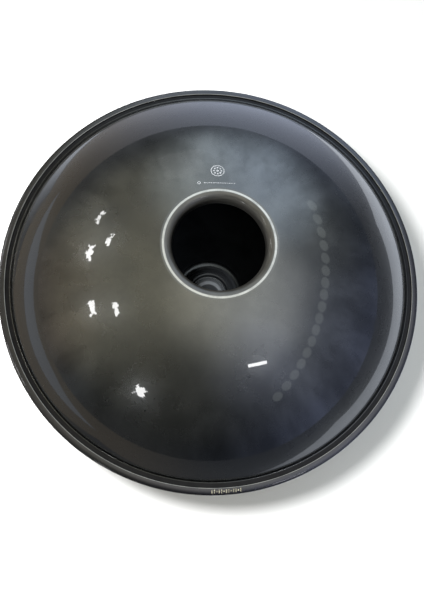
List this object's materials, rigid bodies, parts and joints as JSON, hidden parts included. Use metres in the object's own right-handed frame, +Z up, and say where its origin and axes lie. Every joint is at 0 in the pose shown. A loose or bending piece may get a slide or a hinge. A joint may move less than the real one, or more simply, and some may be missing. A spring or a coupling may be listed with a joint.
{
  "type": "handpan",
  "caption": "Lens-shaped steel hand percussion instrument with a raised centre note, a ring of dimpled tone fields on top, a bound rim and a round port underneath.",
  "frame": {"origin": "centre of the flat land around the port, on the plane the instrument stands on", "axes": "+Z up through the centre note, -Y towards the player, where the largest tone fields are"},
  "size_m": [0.5599, 0.56, 0.2499],
  "materials": {
    "shell_steel": "gloss clear lacquer over dark heat-treated steel",
    "band_steel": "gloss lacquer over dark steel, worn a little along its edges",
    "adhesive": "cured black epoxy"
  },
  "bodies": {
    "root": {"top_shell": "shell_steel", "bottom_shell": "shell_steel", "flange_adhesive": "adhesive", "edge_band": "band_steel"}
  },
  "joints": []
}
